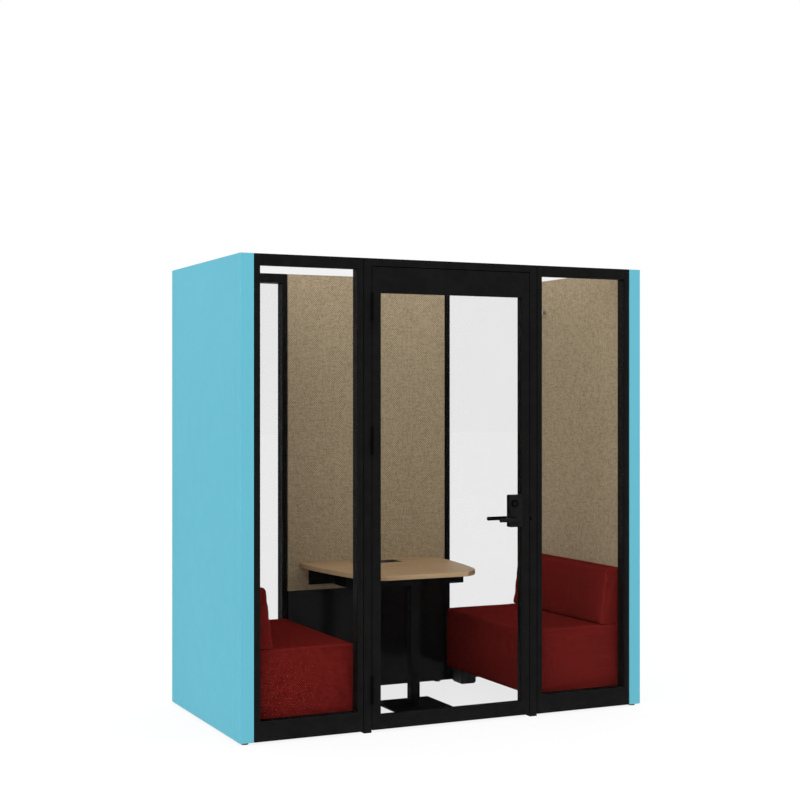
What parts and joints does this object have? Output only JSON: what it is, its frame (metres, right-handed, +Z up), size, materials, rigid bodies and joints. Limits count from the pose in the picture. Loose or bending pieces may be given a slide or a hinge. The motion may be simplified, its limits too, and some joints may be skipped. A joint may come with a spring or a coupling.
{
  "type": "office pod",
  "caption": "Glass-fronted meeting pod with a hinged lever door, solid side walls, facing upholstered benches and a tapered table with a flip-lid power module.",
  "frame": {"origin": "middle of the footprint's bounding box on the floor, the lever outside the door included", "axes": "+Z up, -Y out through the door, +X to the right of someone facing the door from outside"},
  "size_m": [2.262, 1.193, 2.34],
  "materials": {
    "blue_laminate": "matt pale blue lacquer",
    "taupe_fabric": "woven taupe panel fabric",
    "core_board": "raw board, hidden between the skins",
    "gloss_black": "gloss black",
    "black_frame": "satin black powder coat",
    "clear_glass": "clear",
    "black_rubber": "matt",
    "black_hardware": "satin black",
    "bright_steel": "brushed",
    "black_steel": "fine texture black powder coat",
    "wood_laminate": "pale wood laminate",
    "black_plastic": "matt moulded",
    "red_fabric": "dark red upholstery weave"
  },
  "bodies": {
    "pod": {"corner_post_front_left": "blue_laminate", "corner_post_front_right": "blue_laminate", "corner_post_rear_left": "blue_laminate", "corner_post_rear_right": "blue_laminate", "side_core_left": "core_board", "side_skin_left": "blue_laminate", "side_fabric_left": "taupe_fabric", "side_core_right": "core_board", "side_skin_right": "blue_laminate", "side_fabric_right": "taupe_fabric", "rear_core": "core_board", "rear_skin": "blue_laminate", "rear_gloss_tile": "gloss_black", "rear_fabric": "taupe_fabric", "window_front_left_frame": "black_frame", "window_front_right_frame": "black_frame", "window_rear_left_frame": "black_frame", "window_rear_right_frame": "black_frame", "front_window_glass": "clear_glass", "rear_window_glass": "clear_glass", "window_gaskets": "black_rubber", "joint_strips": "black_rubber", "levelling_feet": "black_rubber", "door_post_hinge_side": "black_frame", "door_post_strike_side": "black_frame", "strike_plate": "black_hardware", "door_header": "black_frame", "door_seals": "black_rubber", "hinge_frame_leaves": "black_hardware", "hinge_pins": "black_hardware", "table_top": "wood_laminate", "table_column": "black_steel", "table_cross_arm": "black_steel", "table_base_plate": "black_steel", "table_glides": "black_rubber", "table_wall_rail": "black_steel", "cable_tray": "black_steel", "power_housing": "black_plastic", "power_socket_plate": "black_plastic", "bench_left_seat": "red_fabric", "bench_left_back": "red_fabric", "bench_right_seat": "red_fabric", "bench_right_back": "red_fabric", "bench_feet": "black_plastic", "wall_peg": "bright_steel"},
    "door": {"door_stiles": "black_frame", "door_rails": "black_frame", "door_glass": "clear_glass", "door_gaskets": "black_rubber", "hinge_door_leaves": "black_hardware", "lock_case": "black_hardware", "key_cylinder": "black_hardware"},
    "levers": {"lever_outside": "black_hardware", "lever_inside": "black_hardware", "lever_spindle": "bright_steel"},
    "latch": {"latch_bolt": "bright_steel"},
    "lock_turn": {"key_plug": "black_hardware", "thumb_turn": "black_hardware"},
    "deadbolt": {"deadbolt": "bright_steel"},
    "lid": {"power_lid": "black_plastic"}
  },
  "joints": [
    {"name": "door_swing", "type": "hinge", "parent": "pod", "child": "door", "pos_m": [-0.448, -0.5335, 0], "axis": [0, 0, -1], "range_deg": [0, 110]},
    {"name": "lever_turn", "type": "hinge", "parent": "door", "child": "levers", "pos_m": [0.352, -0.5265, 1.027], "axis": [0, -1, 0], "range_deg": [0, 40], "stiffness_Nm_per_rad": 1.2, "springref_deg": -34.38},
    {"name": "latch_slide", "type": "slide", "parent": "door", "child": "latch", "axis": [-1, 0, 0], "range_m": [0, 0.01]},
    {"name": "thumb_turn", "type": "hinge", "parent": "door", "child": "lock_turn", "pos_m": [0.352, -0.5265, 1.108], "axis": [0, 1, 0], "range_deg": [0, 90]},
    {"name": "deadbolt_slide", "type": "slide", "parent": "door", "child": "deadbolt", "axis": [1, 0, 0], "range_m": [0, 0.018]},
    {"name": "lid_flip", "type": "hinge", "parent": "pod", "child": "lid", "pos_m": [0, 0.462, 0.73], "axis": [-1, 0, 0], "range_deg": [0, 100]}
  ],
  "couplings": [
    {"joint": "latch_slide", "follows": "lever_turn", "m_per_rad": 0.01431},
    {"joint": "deadbolt_slide", "follows": "thumb_turn", "m_per_rad": 0.011448}
  ]
}
